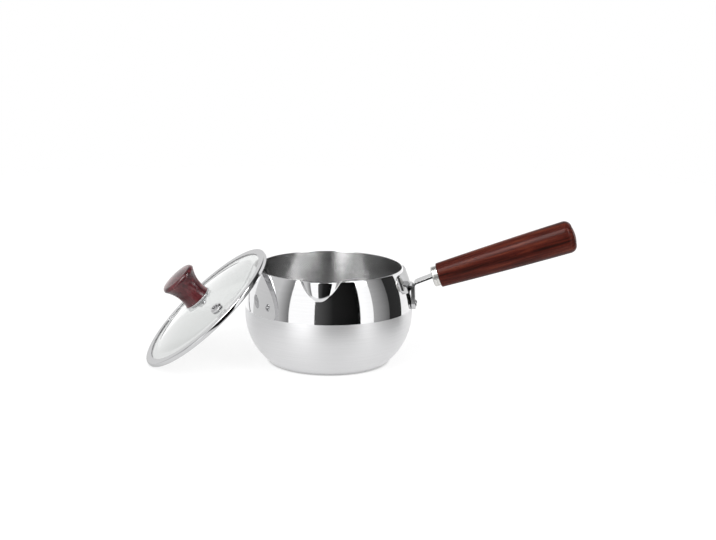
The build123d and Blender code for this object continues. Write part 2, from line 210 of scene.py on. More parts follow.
def lathe_steel(name, tone, line_tone, rough, across_mm, along_mm, relief_mm, grain):
    """Stainless 18/10 sheet finished on a lathe. line_tone darkens it in its lines, rough is its
    roughness from line to line, and grain stretches its gloss across them."""
    made, tree = finish_of(name)
    lines = lathe_lines(tree, across_mm, along_mm)
    roughness = node(tree, "ShaderNodeMapRange", {
        "Value": lines, "From Min": 0.3, "From Max": 0.7, "To Min": rough[0], "To Max": rough[1],
    }).outputs[0]
    clean = node(tree, "ShaderNodeMapRange", {
        "Value": lines, "From Min": 0.35, "From Max": 0.65, "To Min": 0.0, "To Max": 1.0,
    }).outputs[0]
    bright = linear(tone)
    cut = tuple(line_tone * part for part in bright[:3]) + (1.0,)
    metal = node(tree, "ShaderNodeMix", {0: clean, 6: cut, 7: bright}, data_type="RGBA").outputs[2]
    bump = node(tree, "ShaderNodeBump", {"Height": lines, "Strength": 1.0, "Distance": relief_mm * MM})
    round_it = node(tree, "ShaderNodeTangent", direction_type="UV_MAP", uv_map="turned")
    surface(tree, node(tree, "ShaderNodeBsdfPrincipled", {
        "Base Color": metal, "Metallic": 1.0, "Roughness": roughness, "Normal": bump.outputs[0],
        "Anisotropic": grain, "Anisotropic Rotation": 0.25, "Tangent": round_it.outputs[0],
    }))
    return made


# Buffed to a mirror: sharp reflections with a faint haze from the wheel.
mirror_steel = lathe_steel(
    "stainless_mirror_buffed", "#DADADB", line_tone=0.97, rough=(0.03, 0.07),
    across_mm=1.6, along_mm=40.0, relief_mm=0.0015, grain=0.0,
)
# Satin-brushed round the belly: broad soft highlights, drawn out up and down.
satin_steel = lathe_steel(
    "stainless_satin_brushed", "#E2E2E3", line_tone=0.92, rough=(0.43, 0.47),
    across_mm=0.35, along_mm=60.0, relief_mm=0.0015, grain=0.7,
)
# Brushed inside on the lathe: long upright flares, with lines drawn as coarse as they need to show.
inside_steel = lathe_steel(
    "stainless_brushed_inside", "#D2D2D2", line_tone=0.78, rough=(0.225, 0.25),
    across_mm=0.7, along_mm=60.0, relief_mm=0.003, grain=1.0,
)

# The columns stand closer together at the beak, which is at bearing 0 and faces -Y.
turn = np.linspace(0, 2 * np.pi, pan_turns, endpoint=False)
bearing = turn - beak_crowding * np.sin(turn)
around = bearing - np.pi / 2
bearing = (bearing + np.pi) % (2 * np.pi) - np.pi

# Outside, from the middle of the base: flat, corner, lower belly, then the wall with the beak.
lower_centre = belly_radius - lower_arc
corner_reach = (lower_arc - base_corner_radius) ** 2 - (belly_height - base_corner_radius) ** 2
corner_centre = lower_centre + np.sqrt(corner_reach)
meet = np.arctan2(base_corner_radius - belly_height, corner_centre - lower_centre)
base_run = np.linspace(0, corner_centre, base_rows)[:-1]
corner_sweep = np.linspace(-np.pi / 2, meet, corner_rows)[:-1]
belly_sweep = np.linspace(meet, 0, belly_rows)[:-1]
low_r = np.concatenate([
    base_run,
    corner_centre + base_corner_radius * np.cos(corner_sweep),
    lower_centre + lower_arc * np.cos(belly_sweep),
])
low_z = np.concatenate([
    base_run * 0,
    base_corner_radius + base_corner_radius * np.sin(corner_sweep),
    belly_height + lower_arc * np.sin(belly_sweep),
])
high_z = np.concatenate([
    np.linspace(belly_height, mirror_edge_height, satin_rows)[:-1],
    np.linspace(mirror_edge_height, beak_foot_height, mirror_rows)[:-1],
    np.linspace(beak_foot_height, pan_height - pan_wall / 2, beak_rows),
])
high_r = wall_radius(high_z)[:, None] + beak_bulge(bearing[None, :], high_z[:, None])
radius = np.concatenate([np.repeat(low_r[:, None], pan_turns, axis=1), high_r])
height = np.repeat(np.concatenate([low_z, high_z])[:, None], pan_turns, axis=1)
outside = np.stack([radius * np.cos(around), radius * np.sin(around), height], axis=-1)

# The inside is the outside moved in by the wall, on every second row. A half round joins them.
normal = outward(outside)
normal[:base_run.size] = (0, 0, -1)
up_slope = outside[-1] - outside[-2]
up_slope /= np.linalg.norm(up_slope, axis=1, keepdims=True)
half_turn = np.linspace(0, np.pi, rim_steps)[1:-1, None, None]
edge_middle = outside[-1] - normal[-1] * pan_wall / 2
edge = edge_middle + pan_wall / 2 * (np.cos(half_turn) * normal[-1] + np.sin(half_turn) * up_slope)
inside = (outside - normal * pan_wall)[::-2]
pan_grid = np.concatenate([outside, edge, inside])
is_inside = np.arange(len(pan_grid) - 1) >= len(outside) + len(edge) - 1
is_mirror = pan_grid[:-1, 0, 2] >= mirror_edge_height - 0.01
pan = skin(
    "pan_shell", pan_grid, finishes=(mirror_steel, satin_steel, inside_steel),
    finish_rows=np.where(is_inside, 2, np.where(is_mirror, 0, 1)),
)
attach(pan, "pan")
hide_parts("pan_body")

# Bracket, strap and rivets
# Bent from stainless strip and tumbled bright: a plate curved to the wall and spot-welded to it, whose
# tongue drops over the belly, and a strap that two rivets hold to the tongue.
broken_edge = 0.3


def pressed_steel(name, tone, rough, grit_mm, relief_mm):
    """Bright metal with a fine haze and dents of a grit size. rough is its roughness over them,
    and it dims a little towards grazing angles, as polished metal does."""
    made, tree = finish_of(name)
    place = node(tree, "ShaderNodeTexCoord").outputs["Object"]
    grit = {"Vector": place, "Scale": 1 / (grit_mm * MM), "Detail": 5.0, "Roughness": 0.6}
    haze = node(tree, "ShaderNodeTexNoise", grit).outputs["Fac"]
    roughness = node(tree, "ShaderNodeMapRange", {
        "Value": haze, "From Min": 0.3, "From Max": 0.7, "To Min": rough[0], "To Max": rough[1],
    }).outputs[0]
    bump = node(tree, "ShaderNodeBump", {"Height": haze, "Strength": 1.0, "Distance": relief_mm * MM})
    surface(tree, node(tree, "ShaderNodeBsdfPrincipled", {
        "Base Color": linear(tone), "Metallic": 1.0, "Roughness": roughness,
        "Normal": bump.outputs[0], "Specular Tint": linear("#D6D6D6"),
    }))
    return made


def dress(name, finish):
    """Give a CAD node a finish."""
    mesh = frame["nodes"][name].data
    if not mesh.materials:
        mesh.materials.append(finish)
    for at in range(len(mesh.materials)):
        mesh.materials[at] = finish


def tumbled(node_name, name, finish):
    """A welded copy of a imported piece, with its sharp edges broken to a small round."""
    source = frame["nodes"][node_name]
    mesh = source.data.copy()
    mesh.transform(source.matrix_world)
    mesh.materials.clear()
    mesh.materials.append(finish)
    weld = bmesh.new()
    weld.from_mesh(mesh)
    bmesh.ops.remove_doubles(weld, verts=weld.verts, dist=1e-6)
    bmesh.ops.dissolve_limit(weld, angle_limit=np.radians(1), verts=weld.verts, edges=weld.edges)
    weld.to_mesh(mesh)
    weld.free()
    mesh.shade_smooth()
    piece = bpy.data.objects.new(name, mesh)
    bpy.context.scene.collection.objects.link(piece)
    soft = piece.modifiers.new("tumbled_edges", "BEVEL")
    soft.width, soft.segments = broken_edge * MM, 3
    soft.limit_method, soft.angle_limit = "ANGLE", np.radians(40)
    even = piece.modifiers.new("even_shading", "WEIGHTED_NORMAL")
    even.keep_sharp = False
    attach(piece, "pan")
    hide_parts(node_name)


# Tumbled strip: nearly a mirror, softened by the haze of the grit.
bracket_finish = pressed_steel(
    "stainless_strip_tumbled", "#C9C9CA", rough=(0.08, 0.16), grit_mm=2.5, relief_mm=0.004,
)
tumbled("handle_bracket", "bracket_plate_and_tongue", bracket_finish)
tumbled("handle_stem", "stem_strap", bracket_finish)
dress("stem_rivets", bracket_finish)

# Ferrule, stud and sleeve
# A turned stainless cup with a rounded front and a fine groove, welded to the strap. Its spigot enters
# the wood, which hides the stud that is welded in it and the brass sleeve that takes the stud.
handle_rise = np.radians(18.8)
ferrule_radius = 9.7
ferrule_length = 6.0
ferrule_front_radius = 1.5
ferrule_wall = 1.6
groove_start, groove_end = 3.5, 4.0
groove_depth = 0.35
spigot_radius = 7.0
spigot_length = 5.0
stud_bore_radius = 2.5
stud_length = 46.0
handle_axis = np.array([np.cos(handle_rise), 0, np.sin(handle_rise)])
handle_side = np.array([0, 1.0, 0])
stud_start = ferrule_length - ferrule_wall
stud_low, stud_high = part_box("handle_stud")
stud_middle = np.array((stud_low + stud_high) / 2) / MM
ferrule_face = stud_middle - handle_axis * (stud_start + stud_length / 2)


def turned(profile, turns):
    """Points of a profile (radius, height) turned about +Z."""
    at = np.linspace(0, 2 * np.pi, turns, endpoint=False)
    out, up = profile[:, :1], profile[:, 1:]
    return np.stack([out * np.cos(at), out * np.sin(at), np.repeat(up, turns, axis=1)], axis=-1)


def rounded(corners, radii, steps):
    """A run of (radius, height) corners, each rounded by its own arc: the arc's ends lie radius
    over tan of half the corner's angle from it, and its centre lies radius over sin along the
    corner's bisector."""
    spot = np.array(corners, float)
    size = np.array(radii, float)[:, None]
    back = np.roll(spot, 1, axis=0) - spot
    ahead = np.roll(spot, -1, axis=0) - spot
    back /= np.maximum(np.linalg.norm(back, axis=1, keepdims=True), 1e-9)
    ahead /= np.maximum(np.linalg.norm(ahead, axis=1, keepdims=True), 1e-9)
    half = np.arccos(np.clip((back * ahead).sum(axis=1, keepdims=True), -1, 1)) / 2
    bisector = back + ahead
    bisector /= np.maximum(np.linalg.norm(bisector, axis=1, keepdims=True), 1e-9)
    centre = spot + bisector * size / np.maximum(np.sin(half), 1e-6)
    start = spot + back * size / np.maximum(np.tan(half), 1e-6) - centre
    end = spot + ahead * size / np.maximum(np.tan(half), 1e-6) - centre
    share = np.linspace(0, 1, steps)[None, :, None]
    swing = start[:, None] * (1 - share) + end[:, None] * share
    swing *= size[:, None] / np.maximum(np.linalg.norm(swing, axis=2, keepdims=True), 1e-9)
    return (centre[:, None] + swing).reshape(-1, 2)


def stand(grid, origin, axis, ahead):
    """Place a grid drawn about +Z: its origin and its axis, with ahead as its X direction."""
    axis = axis / np.linalg.norm(axis)
    x = ahead - axis * np.dot(ahead, axis)
    x = x / np.linalg.norm(x)
    return origin + grid @ np.stack([x, np.cross(axis, x), axis])


# Turned and polished bar: soft reflections that run along the handle.
ferrule_finish = pressed_steel(
    "stainless_bar_turned", "#D6D5D2", rough=(0.28, 0.34), grit_mm=1.5, relief_mm=0.003,
)
# Turned brass, dull from the tool.
brass_finish = pressed_steel(
    "brass_bar_turned", "#C9A55C", rough=(0.2, 0.3), grit_mm=1.0, relief_mm=0.003,
)
dress("handle_stud", ferrule_finish)
dress("handle_insert", brass_finish)
spigot_end = ferrule_length + spigot_length
# Its outline from the middle of the front: each corner's radius and height, with its round.
ferrule_corners = {
    (0, 0): 0,
    (ferrule_radius, 0): ferrule_front_radius,
    (ferrule_radius, groove_start): 0.12,
    (ferrule_radius - groove_depth, (groove_start + groove_end) / 2): 0.1,
    (ferrule_radius, groove_end): 0.12,
    (ferrule_radius, ferrule_length): 0.3,
    (spigot_radius, ferrule_length): 0.1,
    (spigot_radius, spigot_end): 0.2,
    (stud_bore_radius, spigot_end): 0.1,
    (stud_bore_radius, stud_start): 0.1,
    (0, stud_start): 0,
}
ferrule_profile = rounded(list(ferrule_corners), list(ferrule_corners.values()), steps=7)
ferrule_grid = stand(turned(ferrule_profile, turns=96), ferrule_face, handle_axis, handle_side)
ferrule = skin("turned_ferrule", ferrule_grid, finishes=(ferrule_finish,))
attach(ferrule, "pan")
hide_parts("ferrule")

# Grip
# Rosewood turned between centres to a long taper with a rounded end, bored for the sleeve, sanded and
# dipped in clear varnish.
grip_front = 6.05
grip_length = 133.0
grip_small = 11.7
grip_large = 15.3
grip_swell = 0.5
grip_end_radius = 7.0
grip_front_radius = 0.8
grip_front_steps = 7
grip_end_crown = 1.2
figure_ratio = 0.28
figure_share = 0.45
pore_width_mm, pore_length_mm, pore_depth_mm = 0.45, 6.0, 0.03


def bow(start, middle, end, steps):
    """A smooth run through three points: the parabola that has them, cut at even steps."""
    share = np.linspace(0, 1, steps)[:, None]
    a, b, c = (np.array(p, float) for p in (start, middle, end))
    near, far = (1 - share) * (1 - 2 * share), share * (2 * share - 1)
    return a * near + b * 4 * share * (1 - share) + c * far


def quarter(side, top, size, steps):
    """A quarter round from an upright side to a flat top, about a centre one radius inside both."""
    sweep = np.linspace(0, np.pi / 2, steps)
    return np.stack([side - size + size * np.cos(sweep), top - size + size * np.sin(sweep)], axis=-1)


def dome(edge, rise, steps):
    """A low arc from an edge point up to the axis, square to it there."""
    ball = arc_radius(edge[0], rise)
    out = np.linspace(edge[0], 0, steps)
    return np.stack([out, edge[1] + rise - ball + np.sqrt(ball ** 2 - out ** 2)], axis=-1)


def rosewood(name, axis, dark, middle, light, line_mm, line_length_mm, varnish, gloss):
    """Rosewood under varnish: dark lines along the grain over a red-brown ground, a wider figure
    that gathers them, open pores as short dashes, and a clear coat over all."""
    made, tree = finish_of(name)
    place = node(tree, "ShaderNodeTexCoord").outputs["Object"]
    upright = Vector((0, 0, 1)).rotation_difference(Vector(axis)).inverted().to_euler()
    along = node(tree, "ShaderNodeMapping", {"Vector": place, "Rotation": upright}).outputs[0]

    def drawn_out(across_mm, along_mm):
        """Coordinates in which noise is across_mm wide and along_mm long."""
        scale = (1 / (across_mm * MM), 1 / (across_mm * MM), 1 / (along_mm * MM))
        return node(tree, "ShaderNodeMapping", {"Vector": along, "Scale": scale}).outputs[0]

    lines = node(tree, "ShaderNodeTexNoise", {
        "Vector": drawn_out(line_mm, line_length_mm),
        "Scale": 1.0, "Detail": 5.0, "Roughness": 0.55, "Distortion": 0.4,
    }).outputs["Fac"]
    figure = node(tree, "ShaderNodeTexNoise", {
        "Vector": drawn_out(line_mm / figure_ratio, line_length_mm / figure_ratio),
        "Scale": 1.0, "Detail": 2.0, "Roughness": 0.5,
    }).outputs["Fac"]
    both = {0: figure_share, 2: lines, 3: figure}
    grain = node(tree, "ShaderNodeMix", both, data_type="FLOAT").outputs[0]
    wood = node(tree, "ShaderNodeValToRGB", {"Fac": grain})
    stops = wood.color_ramp.elements
    stops[0].position, stops[0].color = 0.36, linear(dark)
    stops[1].position, stops[1].color = 0.66, linear(light)
    stops.new(0.5).color = linear(middle)
    pores = node(tree, "ShaderNodeTexNoise", {
        "Vector": drawn_out(pore_width_mm, pore_length_mm), "Scale": 1.0, "Detail": 2.0,
    }).outputs["Fac"]
    pits = node(tree, "ShaderNodeMapRange", {
        "Value": pores, "From Min": 0.62, "From Max": 0.72, "To Min": 0.0, "To Max": 1.0,
    }).outputs[0]
    pored = {0: pits, 6: wood.outputs["Color"], 7: linear(dark)}
    tinted = node(tree, "ShaderNodeMix", pored, data_type="RGBA").outputs[2]
    sunk = {"Height": pits, "Strength": 0.6, "Distance": -pore_depth_mm * MM}
    bump = node(tree, "ShaderNodeBump", sunk)
    surface(tree, node(tree, "ShaderNodeBsdfPrincipled", {
        "Base Color": tinted, "Roughness": 0.5, "Specular IOR Level": 0.05,
        "Normal": bump.outputs[0], "Coat Weight": varnish, "Coat Roughness": gloss,
    }))
    return made


# Dark rosewood under a thin rubbed varnish: fine lines along the grip and a narrow soft sheen.
grip_finish = rosewood(
    "rosewood_gloss_varnished", handle_axis, dark="#210A06", middle="#40130B", light="#5E2A1A",
    line_mm=2.4, line_length_mm=40.0, varnish=0.12, gloss=0.18,
)
front_sweep = np.linspace(0, np.pi / 2, grip_front_steps)[1:]
front_round = grip_front_radius * np.stack([np.sin(front_sweep) - 1, 1 - np.cos(front_sweep)], axis=-1)
shoulder = grip_length - grip_end_crown
grip_middle = ((grip_small + grip_large) / 2 + grip_swell, grip_length / 2)
grip_widest = (grip_large, shoulder - grip_end_radius)
grip_taper = bow((grip_small, grip_front_radius), grip_middle, grip_widest, steps=60)
end_round = quarter(grip_large, shoulder, grip_end_radius, steps=20)
grip_profile = np.concatenate([
    [[0, 0], [grip_small - grip_front_radius, 0]],
    front_round + (grip_small, 0),
    grip_taper[1:-1],
    end_round,
    dome(end_round[-1], grip_end_crown, steps=16)[1:],
])
grip_origin = ferrule_face + handle_axis * grip_front
grip_grid = stand(turned(grip_profile, turns=128), grip_origin, handle_axis, handle_side)
grip = skin("rosewood_grip", grip_grid, finishes=(grip_finish,))
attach(grip, "pan")
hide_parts("handle_grip")

# Lid glass
# Tempered soda-lime glass, pressed to a low dome with a flat margin and ground at its edge. The holes for
# the knob and the vent are drilled before it is tempered.
lid_radius = 76.0
band_height = 4.6
glass_underside = 0.75
glass_thickness = 3.1
glass_rise = 8.9
glass_edge = 75.25
glass_edge_radius = 0.65
glass_flat = 61.45
glass_ease = 0.9
glass_hole = 4.0
glass_rows = 90
glass_edge_steps = 7
lid_turns = 256
vent_radius = 49.5
vent_turn = np.radians(-78.0)
vent_hole = 3.75
drill_reach = 12.0
press_wave_mm, press_wave_depth_mm = 35.0, 0.05
glass_ball = arc_radius(glass_flat, glass_rise)
glass_top = glass_underside + glass_thickness
crown_height = glass_top + glass_rise
lift = next(j for j in frame["joints"] if j["name"] == "lid_lift")
lid_axis = np.array(lift["axis"], float)
band_low, band_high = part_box("lid_band")
lid_origin = np.array((band_low + band_high) / 2) / MM - lid_axis * band_height / 2


def on_lid(grid):
    """Place a grid drawn about the lid's own axis, its X up the slope of the lid."""
    return stand(grid, lid_origin, lid_axis, np.array([0, 0, 1.0]))


def dome_rise(out):
    """Height of the dome's arc over the flat margin, at a radius."""
    return np.sqrt(glass_ball ** 2 - out ** 2) - (glass_ball - glass_rise)


def glass_face(low, start, end):
    """One face of the glass at a height: the dome's arc, with its foot eased into the margin."""
    out = np.linspace(start, end, glass_rows)
    up = dome_rise(np.minimum(out, glass_flat))
    return np.stack([out, low + soft_max(up, up * 0, glass_ease)], axis=-1)


def clear_glass(name, tint):
    """Clear glass: it reflects at grazing angles, has the faint grey-green of its iron, and waves
    a little from the press."""
    made, tree = finish_of(name)
    place = node(tree, "ShaderNodeTexCoord").outputs["Object"]
    slow = {"Vector": place, "Scale": 1 / (press_wave_mm * MM), "Detail": 1.0}
    wave = node(tree, "ShaderNodeTexNoise", slow).outputs["Fac"]
    waved = {"Height": wave, "Strength": 0.5, "Distance": press_wave_depth_mm * MM}
    bump = node(tree, "ShaderNodeBump", waved)
    surface(tree, node(tree, "ShaderNodeBsdfPrincipled", {
        "Base Color": linear(tint), "Roughness": 0.0, "IOR": 1.5, "Transmission Weight": 1.0,
        "Normal": bump.outputs[0],
    }))
    return made


# Tempered glass: a grey veil over what is behind it, with sharp reflections.
glass_finish = clear_glass("tempered_soda_lime_glass", "#CDCFCE")
ground_from = glass_edge - glass_edge_radius
margin_corners = [
    (glass_flat, glass_underside), (glass_edge, glass_underside),
    (glass_edge, glass_top), (glass_flat, glass_top),
]
margin_radii = (0, glass_edge_radius, glass_edge_radius, 0)
ground_edge = rounded(margin_corners, margin_radii, glass_edge_steps)
ground_edge = ground_edge[glass_edge_steps:-glass_edge_steps]
glass_profile = np.concatenate([
    glass_face(glass_underside, glass_hole, ground_from)[:-1],
    ground_edge,
    glass_face(glass_top, ground_from, glass_hole)[1:],
])
glass_grid = on_lid(turned(glass_profile, lid_turns))
glass = skin("domed_glass", glass_grid, loop=True, finishes=(glass_finish,))
vent_out = np.array([np.cos(vent_turn), np.sin(vent_turn), 0])
vent_across = np.array([-vent_out[1], vent_out[0], 0])
vent_lean = np.arcsin(vent_radius / glass_ball)
vent_spot = vent_out * vent_radius + np.array([0, 0, glass_top + dome_rise(vent_radius)])
vent_axis = vent_out * np.sin(vent_lean) + np.array([0, 0, np.cos(vent_lean)])


def at_vent(grid):
    """Place a grid drawn about the vent's axis, square to the dome."""
    return on_lid(stand(grid, vent_spot, vent_axis, vent_across))


drill_profile = np.array([
    [0, -drill_reach], [vent_hole, -drill_reach], [vent_hole, drill_reach], [0, drill_reach],
])
drill = skin("drill", at_vent(turned(drill_profile, turns=64)))
cut = glass.modifiers.new("vent_hole", "BOOLEAN")
cut.object, cut.operation, cut.solver = drill, "DIFFERENCE", "EXACT"
settled = glass.evaluated_get(bpy.context.evaluated_depsgraph_get())
drilled = bpy.data.meshes.new_from_object(settled)
glass.modifiers.clear()
glass.data = drilled
bpy.data.objects.remove(drill)
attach(glass, "lid")
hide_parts("lid_glass")

# Band and its seal
# A channel roll-formed from thin bright stainless strip and closed round the glass, over a lining of
# clear silicone that shows as a line at its lip.
band_sheet = 0.5
seal_thickness = 0.25
band_top_lip = 7.0
band_low_lip = 7.4
band_corner = 1.3
mould_grit_mm = 0.8


def silicone(name, tone):
    """Clear moulded silicone: milky, with a soft gloss."""
    made, tree = finish_of(name)
    place = node(tree, "ShaderNodeTexCoord").outputs["Object"]
    fine = {"Vector": place, "Scale": 1 / (mould_grit_mm * MM), "Detail": 3.0}
    dust = node(tree, "ShaderNodeTexNoise", fine).outputs["Fac"]
    dull = {"Value": dust, "To Min": 0.4, "To Max": 0.6}
    surface(tree, node(tree, "ShaderNodeBsdfPrincipled", {
        "Base Color": linear(tone), "Roughness": node(tree, "ShaderNodeMapRange", dull).outputs[0],
        "IOR": 1.41, "Transmission Weight": 0.4,
    }))
    return made


def channel(depth, thickness, outer_round, inner_round, lip_round):
    """Closed outline of a channel open towards the axis, at a depth inside the band, with rounded
    outer corners and lips."""
    side, low, high = lid_radius - depth, depth, band_height - depth
    top_lip, low_lip = lid_radius - band_top_lip, lid_radius - band_low_lip
    corners = [
        (low_lip, low), (side, low), (side, high), (top_lip, high), (top_lip, high - thickness),
        (side - thickness, high - thickness), (side - thickness, low + thickness),
        (low_lip, low + thickness),
    ]
    radii = (
        lip_round, outer_round, outer_round, lip_round, lip_round,
        inner_round, inner_round, lip_round,
    )
    return rounded(corners, radii, steps=7)


# Bright-rolled strip: a clear mirror, with slow waves from the rolls.
band_finish = pressed_steel(
    "stainless_strip_bright_rolled", "#CACACB", rough=(0.05, 0.11), grit_mm=6.0, relief_mm=0.006,
)
# Clear silicone: a pale milky line.
seal_finish = silicone("silicone_moulded_translucent", "#B9BABA")
band_profile = channel(0, band_sheet, band_corner, band_corner - band_sheet, lip_round=0.2)
band_grid = on_lid(turned(band_profile, lid_turns))
band = skin("glass_band", band_grid, loop=True, finishes=(band_finish,))
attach(band, "lid")
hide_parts("lid_band")
seal_profile = channel(
    band_sheet, seal_thickness, band_corner - band_sheet, band_corner / 2, lip_round=0.1,
)
seal_grid = on_lid(turned(seal_profile, lid_turns))
seal = skin("glass_seal", seal_grid, loop=True, finishes=(seal_finish,))
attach(seal, "lid")
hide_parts("band_seal")

# Vent
# An eyelet of thin bright stainless, pushed through the drilled hole and rolled over on both faces of the
# glass: flat under it, and rounded above.
vent_bore = 2.5
vent_sleeve = 3.7
vent_flange = 5.5
vent_foot_low, vent_foot_high = -4.1, -3.2
vent_head_low, vent_head_side = 0.05, 1.3
vent_head_crest, vent_head_mouth = 2.2, 1.75
# Its outline: each corner's radius and height over the glass, with its round.
vent_corners = {
    (vent_bore, vent_foot_low): 0.2,
    (vent_flange, vent_foot_low): 0.3,
    (vent_flange, vent_foot_high): 0.3,
    (vent_sleeve, vent_foot_high): 0,
    (vent_sleeve, vent_head_low): 0,
    (vent_flange, vent_head_low): 0.1,
    (vent_flange, vent_head_side): 0.5,
    (vent_sleeve, vent_head_crest): 0.5,
    (vent_bore, vent_head_mouth): 0.3,
}
vent_profile = rounded(list(vent_corners), list(vent_corners.values()), steps=6)
vent_grid = at_vent(turned(vent_profile, turns=96))
vent = skin("vent_rolled_eyelet", vent_grid, loop=True, finishes=(band_finish,))
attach(vent, "lid")
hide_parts("vent_eyelet")

# Knob and its fastening
# A steel dish and silicone washers clamp the glass. A screw from below draws the turned and varnished
# rosewood knob down by the brass sleeve set in it.
gasket_thickness = 0.8
dish_radius = 14.25
dish_sheet = 0.8
dish_hole = 2.6
dish_round = 0.25
knob_height = 31.0
knob_base, knob_waist, knob_top = 13.5, 12.6, 18.0
knob_waist_height = 0.24 * knob_height
knob_edge_radius = 3.6
knob_crown = 1.8
knob_foot_in, knob_foot_up = 0.5, 0.4
knob_bore_radius = 4.1
knob_bore_depth = 13.2
dress("upper_gasket", seal_finish)
dress("lower_gasket", seal_finish)
dress("knob_washer", band_finish)
dress("knob_screw", band_finish)
dress("knob_insert", brass_finish)
dish_low = crown_height + gasket_thickness
knob_seat = dish_low + dish_sheet
dish_corners = [
    (dish_hole, dish_low), (dish_radius, dish_low), (dish_radius, knob_seat), (dish_hole, knob_seat),
]
dish_profile = rounded(dish_corners, (0, dish_round, dish_round, 0), steps=6)
dish_grid = on_lid(turned(dish_profile, turns=128))
dish = skin("knob_steel_dish", dish_grid, loop=True, finishes=(band_finish,))
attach(dish, "lid")
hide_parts("knob_dish")


def circle_through(start, middle, end, steps):
    """The circle's arc through three points of a profile, cut at even angles."""
    a, b, c = (np.array(p, float) for p in (start, middle, end))
    rows = np.stack([b - a, c - a])
    centre = np.linalg.solve(rows, 0.5 * np.array([b @ b - a @ a, c @ c - a @ a]))
    size = np.linalg.norm(a - centre)
    first, last = (np.arctan2(*(p - centre)[::-1]) for p in (a, c))
    last = first + (last - first + np.pi) % (2 * np.pi) - np.pi
    sweep = np.linspace(first, last, steps)
    return centre + size * np.stack([np.cos(sweep), np.sin(sweep)], axis=-1)


# The same wood, redder, under a full gloss coat that greys the crown where light grazes it.
knob_finish = rosewood(
    "rosewood_knob_gloss_varnished", lid_axis, dark="#2B0D11", middle="#4C1A1F", light="#6B3033",
    line_mm=3.2, line_length_mm=36.0, varnish=0.9, gloss=0.2,
)
knob_shoulder = knob_height - knob_crown
knob_side = circle_through(
    (knob_base, knob_foot_up), (knob_waist, knob_waist_height),
    (knob_top, knob_shoulder - knob_edge_radius), steps=44,
)
knob_round = quarter(knob_top, knob_shoulder, knob_edge_radius, steps=14)
knob_profile = np.concatenate([
    [[knob_bore_radius, 0], [knob_base - knob_foot_in, 0]],
    knob_side,
    knob_round[1:],
    dome(knob_round[-1], knob_crown, steps=16)[1:],
    [[0, knob_bore_depth], [knob_bore_radius, knob_bore_depth]],
])
knob_grid = on_lid(turned(knob_profile + (0, knob_seat), turns=128))
knob = skin("rosewood_knob", knob_grid, loop=True, finishes=(knob_finish,))
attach(knob, "lid")
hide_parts("lid_knob")

# Cards round the pan
# Curved cards that only glossy rays see give the polished steel its bands: a soft box at each side of two
# dark flags, and pale, grey and dark cards beyond them.
card_steps = 32
card_rows = np.array([-0.7, 0.55, 1.4])


def card(name, start_deg, end_deg, radius, top, glow, lift=1.0):
    """A curved card round the pan between two bearings, in metres. Its glow goes evenly from that
    of its start to that of its end, and is lift times as strong in its upper part."""
    columns = card_steps + 1
    at = np.radians(np.linspace(start_deg, end_deg, columns))
    up = np.append(card_rows, top)[:, None]
    points = np.broadcast_arrays(radius * np.cos(at), radius * np.sin(at), up)
    points = np.stack(points, axis=-1).reshape(-1, 3)
    first = np.arange(card_steps)[None, :] + columns * np.arange(len(card_rows))[:, None]
    first = first.ravel()
    faces = np.stack([first, first + 1, first + columns + 1, first + columns], axis=-1)
    mesh = bpy.data.meshes.new(name)
    mesh.from_pydata(points.tolist(), [], faces.tolist())
    strength = np.array([1, 1, lift, lift])[:, None] * np.linspace(*glow, columns)
    track = mesh.attributes.new("glow", "FLOAT", "POINT")
    track.data.foreach_set("value", strength.astype(np.float32).ravel())
    made, tree = finish_of(name + "_paper")
    shining = node(tree, "ShaderNodeAttribute", attribute_name="glow").outputs["Fac"]
    surface(tree, node(tree, "ShaderNodeEmission", {"Strength": shining}))
    mesh.materials.append(made)
    piece = bpy.data.objects.new(name, mesh)
    bpy.context.scene.collection.objects.link(piece)
    piece.visible_camera = piece.visible_diffuse = piece.visible_shadow = False
    piece.visible_transmission = piece.visible_volume_scatter = False


card("flag_front_dark", -78, -42, radius=1.0, top=3.6, glow=(0.018, 0.003))
card("flag_front_grey", -102, -78, radius=1.0, top=3.6, glow=(0.12, 0.018))
card("softbox_left", -137, -102, radius=1.02, top=3.2, glow=(1.42, 1.42), lift=8.0)
card("card_left_pale", -205, -158, radius=1.04, top=2.6, glow=(0.8, 0.74))
card("card_left_grey", -158, -136.5, radius=1.04, top=2.6, glow=(0.74, 0.2))
card("softbox_right", -42, -23, radius=1.02, top=3.2, glow=(1.5, 1.35), lift=9.0)
card("card_right_grey", -23, 4, radius=1.02, top=2.6, glow=(0.52, 0.15))
card("flag_right_dark", 4, 30, radius=1.02, top=2.6, glow=(0.03, 0.04))

# The steel in the photograph reflects neither the wood, with what is set in it, nor the glass.
set_in_wood = (
    "handle_stud", "handle_insert", "knob_insert", "knob_screw", "knob_washer",
    "upper_gasket", "lower_gasket",
)
for piece in [grip, knob, glass] + [frame["nodes"][name] for name in set_in_wood]:
    piece.visible_glossy = False

# Table top
# Matt white paper, laid flat. Most of what it shows is its own white, so that it meets the background
# without an edge, and a painted contact shadow, from ambient occlusion, greys that white where the pan
# and the lid touch it.
paper_sink = 0.02
paper_radii = (0, 400, 900, 1600)
paper_far_from, paper_far_to = 0.7, 1.5
paper_near_from, paper_near_to = 0.22, 0.28
paper_own_white = 0.82
painted_shadow_reach = 0.005
paper_grid = turned(np.array([(radius, -paper_sink) for radius in paper_radii]), turns=96)
table_top = skin("table_top", paper_grid)
# Matt paper: an even white with no gloss, and a painted contact shadow that greys its own white near the
# pan and the lid.
paper_finish, tree = finish_of("paper_white_matt")
place = node(tree, "ShaderNodeTexCoord").outputs["Object"]
away = node(tree, "ShaderNodeVectorMath", {0: place}, operation="LENGTH").outputs["Value"]


